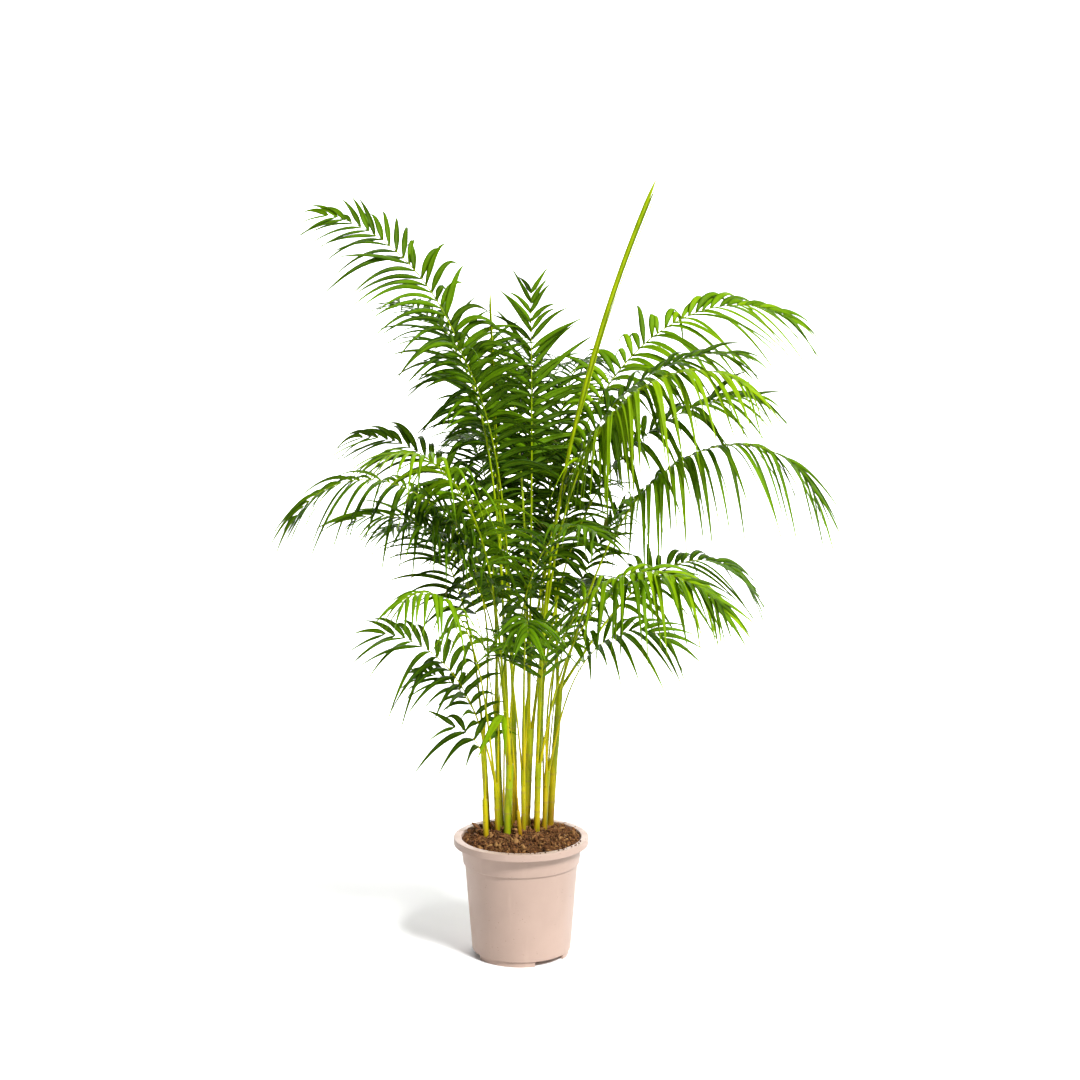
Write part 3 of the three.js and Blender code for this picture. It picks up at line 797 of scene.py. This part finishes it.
# An icosahedron, which crumbs and chips are made from.
ICO = (1 + math.sqrt(5)) / 2
ICO_POINTS = unit(np.array([
    (-1, ICO, 0), (1, ICO, 0), (-1, -ICO, 0), (1, -ICO, 0),
    (0, -1, ICO), (0, 1, ICO), (0, -1, -ICO), (0, 1, -ICO),
    (ICO, 0, -1), (ICO, 0, 1), (-ICO, 0, -1), (-ICO, 0, 1),
], float))
ICO_FACES = [
    (0, 11, 5), (0, 5, 1), (0, 1, 7), (0, 7, 10), (0, 10, 11),
    (1, 5, 9), (5, 11, 4), (11, 10, 2), (10, 7, 6), (7, 1, 8),
    (3, 9, 4), (3, 4, 2), (3, 2, 6), (3, 6, 8), (3, 8, 9),
    (4, 9, 5), (2, 4, 11), (6, 2, 10), (8, 6, 7), (9, 8, 1),
]


def turn_matrix():
    """A random rotation."""
    q = np.array([random.gauss(0, 1) for _ in range(4)])
    w, x, y, z = q / np.linalg.norm(q)
    return np.array([
        (1 - 2 * (y * y + z * z), 2 * (x * y - z * w), 2 * (x * z + y * w)),
        (2 * (x * y + z * w), 1 - 2 * (x * x + z * z), 2 * (y * z - x * w)),
        (2 * (x * z - y * w), 2 * (y * z + x * w), 1 - 2 * (x * x + y * y)),
    ])


def crumb(body, centre, size, flatness, tone):
    """An irregular lump, or a bark chip when it is flat."""
    stretch = np.array([1.0, random.uniform(0.55, 1.0), flatness])
    jitter = np.array([random.uniform(0.72, 1.22) for _ in range(12)])
    points = ICO_POINTS * jitter[:, None] * stretch * size
    body.add(points @ turn_matrix().T + centre, ICO_FACES, tone=tone)


def fibre(body, centre, length, heading, tone):
    """A thin root or coir fibre that lies on the soil in a bow."""
    bend = random.uniform(-60, 60)
    rise = random.uniform(0, 25)
    point = np.array(centre, float)
    rings = []
    for i in range(FIBRE_STEPS):
        t = i / (FIBRE_STEPS - 1)
        along = leaning(90 - rise * (1 - 2 * t), heading + bend * t)
        side = unit(np.cross(along, (0, 0, 1)))
        up = np.cross(side, along)
        r = FIBRE_RADIUS * (1 - 0.5 * t)
        rings.append([point + r * (math.cos(a) * side + math.sin(a) * up) for a in (0, 2.1, 4.2)])
        point = point + along * length / FIBRE_STEPS
    body.loft(np.array(rings)[:, ::-1], tone=tone)


def random_place(reach):
    """Any place within that distance of the middle, all equally likely."""
    radius = reach * math.sqrt(random.random())
    turn = random.uniform(0, 2 * math.pi)
    return radius * math.cos(turn), radius * math.sin(turn)


def add_crumbs(body):
    for _ in range(CRUMBS):
        x, y = random_place(CRUMB_REACH)
        size = random.choice(CRUMB_SIZES)
        z = soil_height(x, y) + size * random.uniform(0.1, 0.9)
        flatness = random.choice((0.25, 0.4, 0.7))
        crumb(body, (x, y, z), size, flatness, random.uniform(0.05, 0.95))


def add_bark_chips(body):
    for _ in range(BARK_CHIPS):
        x, y = random_place(BARK_REACH)
        z = soil_height(x, y) + random.uniform(2, 5)
        crumb(body, (x, y, z), random.uniform(4.5, 9), 0.28, random.uniform(0.3, 1.0))


def add_rim_crumbs(body):
    """Crumbs spilt on the rim, most of them on one side."""
    for _ in range(RIM_CRUMBS):
        turn = math.radians(random.gauss(RIM_CRUMB_HEADING, 30))
        radius = random.uniform(*RIM_CRUMB_RADII)
        size = random.uniform(1.0, 2.6)
        place = (radius * math.cos(turn), radius * math.sin(turn), POT_HEIGHT + 0.5 * size)
        crumb(body, place, size, 0.5, random.uniform(0.1, 0.7))


def add_fibres(body):
    for _ in range(FIBRES):
        x, y = random_place(FIBRE_REACH)
        place = (x, y, soil_height(x, y) + 2.5)
        length = random.uniform(18, 45)
        heading = random.uniform(0, 360)
        fibre(body, place, length, heading, random.uniform(0.7, 1))


def make_soil():
    body = soil_block()
    add_crumbs(body)
    add_bark_chips(body)
    add_rim_crumbs(body)
    add_fibres(body)
    # Two large pieces of bark lie at the left edge.
    crumb(body, (-92, 48, POT_HEIGHT + 6), size=15, flatness=0.22, tone=0.5)
    crumb(body, (-104, 22, POT_HEIGHT + 2), size=9, flatness=0.3, tone=0.4)
    keep(body.build("soil_surface", soil_material()), "potting_soil")


# ---- Canes -----------------------------------------------------------------------------------

SOIL_LINE = POT_HEIGHT - PLANTED_BELOW_RIM


def cane_top(cane):
    return np.array([cane.x, cane.y, SOIL_LINE]) + cane.height * leaning(cane.lean, cane.heading)


def make_cane(name, cane, material):
    """A cane with a ring scar at every node, a thicker foot and a slight sway."""
    radius = cane.radius
    height = cane.height
    axis = leaning(cane.lean, cane.heading)
    side = np.array([1.0, 0.0, 0.0])
    side = unit(side - axis * np.dot(side, axis))
    front = np.cross(axis, side)
    turns = np.linspace(0, 2 * math.pi, CANE_SIDES, endpoint=False)
    step = height / max(1, round(height / INTERNODE))
    drift = random.uniform(0, 50)
    rings, scars, places = [], [], []
    for h in np.arange(-PLANTING_DEPTH, height + 0.1, CANE_STEP):
        from_scar = abs((h + step / 2) % step - step / 2) if h > 6 else 30
        swell = RING_SWELL * math.exp(-(from_scar / RING_REACH) ** 2)
        foot = FOOT_SWELL * math.exp(-max(0, h + 4) / 9)
        top = 0.12 * max(0, (h - height + 12) / 12)
        wave = CANE_WAVE * math.sin(h * 0.06 + drift)
        r = radius * (1 + swell + foot - top + wave)
        sway = CANE_SWAY * math.sin(h * 0.021 + drift) * min(1, (h + 20) / 60)
        sway *= max(0, 1 - h / height)
        centre = np.array([cane.x, cane.y, SOIL_LINE]) + axis * h + side * sway
        ring = centre + r * (np.cos(turns)[:, None] * side + np.sin(turns)[:, None] * front)
        rings.append(ring)
        scars.append(math.exp(-(from_scar / SCAR_REACH) ** 2))
        places.append(max(0, h) / COLOUR_HEIGHT)
    body = Body()
    green = random.choice((0, 0, 0.05, 0.15, 0.5))
    body.loft(rings, scar=scars, height=places, tone=green)
    keep(body.build(name, material), name.replace("stem", "cane"))


# ---- Fronds ----------------------------------------------------------------------------------

def seat_of(cane, index):
    """Where a frond starts: on top of its cane, on a circle with that cane's other fronds."""
    fronds = cane.fronds
    petiole = PETIOLE_SHARE * cane.radius
    mean = sum(frond.heading for frond in fronds) / len(fronds)
    turn = math.radians(mean + (index - (len(fronds) - 1) / 2) * 360 / len(fronds))
    out = 0
    if len(fronds) > 1:
        out = (petiole + PETIOLE_GAP / 2) / math.sin(math.pi / len(fronds))
    tilt = petiole * abs(math.sin(math.radians(fronds[index].lean)))
    lift = CLEARANCE + tilt + cane.radius * math.sin(math.radians(cane.lean))
    return cane_top(cane) + np.array([out * math.cos(turn), out * math.sin(turn), lift])


class Spine:
    """The line of a petiole and rachis, as the solids have it."""

    def __init__(self, base, frond):
        self.frond = frond
        self.length = frond.length
        middles = (np.arange(SPINE_STEPS) + 0.5) / SPINE_STEPS
        steps = self.direction(middles) * self.length / SPINE_STEPS
        self.points = np.vstack([base, base + np.cumsum(steps, axis=0)])

    def direction(self, t):
        """The way it points at a share t of its length."""
        lean = self.frond.lean + self.frond.bend * t ** self.frond.late
        return leaning(lean, self.frond.heading)

    def normal(self, t):
        """The way its upper side faces there."""
        lean = self.frond.lean - 90 + self.frond.bend * t ** self.frond.late
        return leaning(lean, self.frond.heading)

    def point(self, t):
        step = min(t * SPINE_STEPS, SPINE_STEPS - 1e-6)
        i = int(step)
        return self.points[i] + (self.points[i + 1] - self.points[i]) * (step - i)


def petiole_section():
    """A round section with a shallow channel along its upper side: its turns and radii."""
    turns = np.linspace(0, 2 * math.pi, PETIOLE_SIDES, endpoint=False)
    channel = np.exp(-((turns - math.pi / 2) / 0.45) ** 2)
    return turns, 1 - 0.28 * channel


def add_petiole(body, spine, petiole, cane):
    """The stalk: it clasps the end of its cane, and thins towards its tip."""
    turns, section = petiole_section()
    axis = leaning(cane.lean, cane.heading)
    rings, heights = [], []
    for k in range(CLASP_STEPS):
        down = CLASP * (1 - k / CLASP_STEPS)
        point = spine.points[0] - axis * down
        wide = petiole * (1.1 + 0.15 * math.sin(math.pi * k / CLASP_STEPS))
        rings.append(ring_at(point, axis, spine.normal(0.0), turns, section * wide))
        heights.append((cane.height - down) / COLOUR_HEIGHT)
    for i in range(SPINE_STEPS + 1):
        t = i / SPINE_STEPS
        along = spine.direction(t)
        radius = petiole * (1 - (1 - TIP_SHARE) * t)
        flare = 1 + 0.25 * math.exp(-t * spine.length / 30)
        radii = section * radius * flare
        rings.append(ring_at(spine.points[i], along, spine.normal(t), turns, radii))
        heights.append((cane.height + spine.length * t) / COLOUR_HEIGHT * PETIOLE_FADE)
    body.loft(rings, height=heights, tone=0.5)


def ring_at(point, along, up, turns, radii):
    """A ring of points square to a direction, in the order that faces out in a loft."""
    across = np.cross(along, up)
    up = np.cross(across, along)
    offsets = np.cos(turns)[:, None] * across + np.sin(turns)[:, None] * up
    return (point + offsets * np.asarray(radii)[:, None])[::-1]


# The eight points of a leaflet's section: how far out from the midrib, as a share of half
# its width, and how far down through its thickness, from the upper face to the under face.
LEAF_ACROSS = np.array([-1.0, -0.5, 0.0, 0.5, 1.0, 0.5, 0.0, -0.5])
LEAF_DEPTH = np.array([0.5, 0.0, 0.0, 0.0, 0.5, 1.0, 1.0, 1.0])


def leaf_width(t):
    """Share of the greatest width at a share t of the leaflet's length."""
    if t < LEAF_SHOULDER:
        return 0.30 + 0.70 * math.sin(math.pi / 2 * t / LEAF_SHOULDER)
    return max(0.03, 1 - ((t - LEAF_SHOULDER) / (1 - LEAF_SHOULDER)) ** LEAF_TAPER)


def add_leaflet(body, base, axis, flat, length, width, droop, twist, tone):
    """A folded blade that leaves the rachis along axis, sags, twists and ends in a point."""
    reach = math.sqrt(1 - droop ** 2)
    rings, along, across, under = [], [], [], []
    for i in range(LEAF_STATIONS):
        t = i / (LEAF_STATIONS - 1)
        point = base + length * (reach * t * axis - droop * t ** SAG_POWER * UP)
        direction = unit(reach * axis - SAG_POWER * droop * t ** (SAG_POWER - 1) * UP)
        flat = unit(flat - direction * np.dot(flat, direction))
        face = np.cross(flat, direction)
        turn = twist * t * t
        side = math.cos(turn) * flat + math.sin(turn) * face
        up = np.cross(side, direction)
        half = width / 2 * leaf_width(t)
        fold = half * (0.45 - 0.30 * t)
        drop = np.abs(LEAF_ACROSS) * fold + LEAF_THICKNESS * LEAF_DEPTH * (1 - 0.7 * t)
        rings.append(point + np.outer(LEAF_ACROSS * half, side) - np.outer(drop, up))
        along.append(np.full(len(LEAF_ACROSS), t))
        across.append(LEAF_ACROSS)
        under.append((LEAF_DEPTH == 1).astype(float))
    body.loft(
        np.array(rings)[:, ::-1],
        leaf=1.0,
        tone=tone,
        along=np.array(along)[:, ::-1],
        across=np.array(across)[:, ::-1],
        under=np.array(under)[:, ::-1],
    )


def rolled(along, up, roll):
    """The blade's upper side and its right-hand side, once it is turned about its rachis."""
    roll = math.radians(roll)
    across = np.cross(along, up)
    up = math.cos(roll) * up + math.sin(roll) * across
    return up, np.cross(along, up)


def leaflet_length(longest, place):
    """Longest before the middle of the blade and much shorter at its tip, where place is 1."""
    return longest * (0.75 + 0.25 * math.sin(math.pi * min(1, 1.15 * place)) - 0.38 * place ** 3)


def add_leaflets(body, spine, frond):
    """Pairs of leaflets from the end of the bare petiole to the tip."""
    pairs = max(1, round(spine.length * (1 - frond.bare) / LEAFLET_SPACING))
    for i in range(pairs):
        for side in (-1, 1):
            place = 1
            if pairs > 1:
                place = min(1, max(0, (i + random.uniform(-0.15, 0.15)) / (pairs - 1)))
            grow_leaflet(body, spine, frond, place, side, SEEDLING_BREADTH if pairs == 1 else 1)


def grow_leaflet(body, spine, frond, place, side, broad):
    """One leaflet at a share place of the blade, a little different from its neighbours."""
    t = frond.bare + (1 - frond.bare) * (0.02 + 0.97 * place)
    along = spine.direction(t)
    up, across = rolled(along, spine.normal(t), frond.roll)
    across = across * side
    angle = math.radians(BASE_ANGLE + (TIP_ANGLE - BASE_ANGLE) * place + random.gauss(0, 4))
    rise = math.radians(BASE_RISE + (TIP_RISE - BASE_RISE) * place + random.gauss(0, 6))
    out = across * math.cos(rise) + up * math.sin(rise)
    axis = along * math.cos(angle) + out * math.sin(angle)
    length = leaflet_length(frond.leaflet, place) * random.uniform(0.88, 1.12)
    usual = LEAFLET_WIDTH * broad * (0.7 + 0.3 * length / USUAL_LEAFLET)
    width = usual * random.uniform(0.88, 1.1)
    sag = frond.droop * (0.4 + 0.6 * length / frond.leaflet)
    droop = min(0.9, max(0.05, sag + random.gauss(EXTRA_SAG, 0.09)))
    # The frond's tone, which is painted light and shade, with a small random difference for each
    # leaflet.
    tone = min(1, max(0, frond.tone + random.gauss(0, 0.08)))
    twist = random.gauss(0, 0.35)
    add_leaflet(body, spine.point(t), axis, along, length, width, droop, twist, tone)


def add_spear(body, spine, petiole):
    """A closed frond: pleated, thickest past the middle and pointed."""
    turns = np.linspace(0, 2 * math.pi, SPEAR_SIDES, endpoint=False)
    pleats = 1 + 0.10 * np.cos(turns * SPEAR_PLEATS)
    rings, heights = [], []
    for i in range(SPINE_STEPS + 1):
        t = i / SPINE_STEPS
        swelling = smooth(t, *SPEAR_SWELLS)
        point = 1 - 0.7 * smooth(t, 0.97, 1)
        radius = (petiole + (spine.frond.radius - petiole) * swelling) * point
        flat = np.where(np.abs(np.sin(turns)) > 0.5, 1 - 0.25 * swelling, 1)
        rings.append(ring_at(
            spine.points[i], spine.direction(t), spine.normal(t), turns, radius * pleats * flat
        ))
        heights.append(0.35 + 0.6 * t)
    body.loft(rings, height=heights, tone=0.6)


def add_loose_strip(body, spine, close, apart, wide, leaf):
    """A strip that comes loose from the under side of a spear.

    It lies close times the spear's radius from its middle, and at the tip apart times. It is
    wide times as thick as the spear, and coloured as a leaflet where leaf is 1.
    """
    turns = np.linspace(0, 2 * math.pi, STRIP_SIDES, endpoint=False)
    reach = spine.frond.radius
    rings, heights = [], []
    for i in range(STRIP_STEPS + 1):
        t = STRIP_START + STRIP_SPAN * i / STRIP_STEPS
        along = spine.direction(t)
        up = spine.normal(t)
        away = reach * (close * smooth(t, 0.5, 0.65) + (apart - close) * smooth(t, 0.7, 1))
        radius = reach * wide * (1 - 0.7 * smooth(t, 0.96, 0.99))
        radii = radius * (1 - 0.5 * np.abs(np.cos(turns)))
        rings.append(ring_at(spine.point(t) - up * away, along, up, turns, radii))
        heights.append(0.6 + 0.3 * t)
    body.loft(rings, height=heights, leaf=leaf, tone=0.25)


def make_frond(node, cane, index, material):
    frond = cane.fronds[index]
    spine = Spine(seat_of(cane, index), frond)
    petiole = PETIOLE_SHARE * cane.radius
    closed = isinstance(frond, Spear)
    body = Body()
    if closed:
        add_spear(body, spine, petiole)
        add_loose_strip(body, spine, close=0.9, apart=1.1, wide=0.5, leaf=1.0)
        add_loose_strip(body, spine, close=1.5, apart=2.3, wide=0.25, leaf=0.0)
    else:
        add_petiole(body, spine, petiole, cane)
        add_leaflets(body, spine, frond)
    piece = body.build(node.replace("cane", "stem"), material)
    keep(piece, node)


def make_plant():
    skin = cane_material()
    leaf = frond_material()
    for number, cane in enumerate(CANES, 1):
        make_cane(f"stem_{number:02d}", cane, skin)
        for index, frond in enumerate(cane.fronds):
            kind = "spear" if isinstance(frond, Spear) else f"frond_{'abc'[index]}"
            make_frond(f"cane_{number:02d}_{kind}", cane, index, leaf)


make_camera()
make_lights()
make_floor()
make_pot()
make_soil()
make_plant()
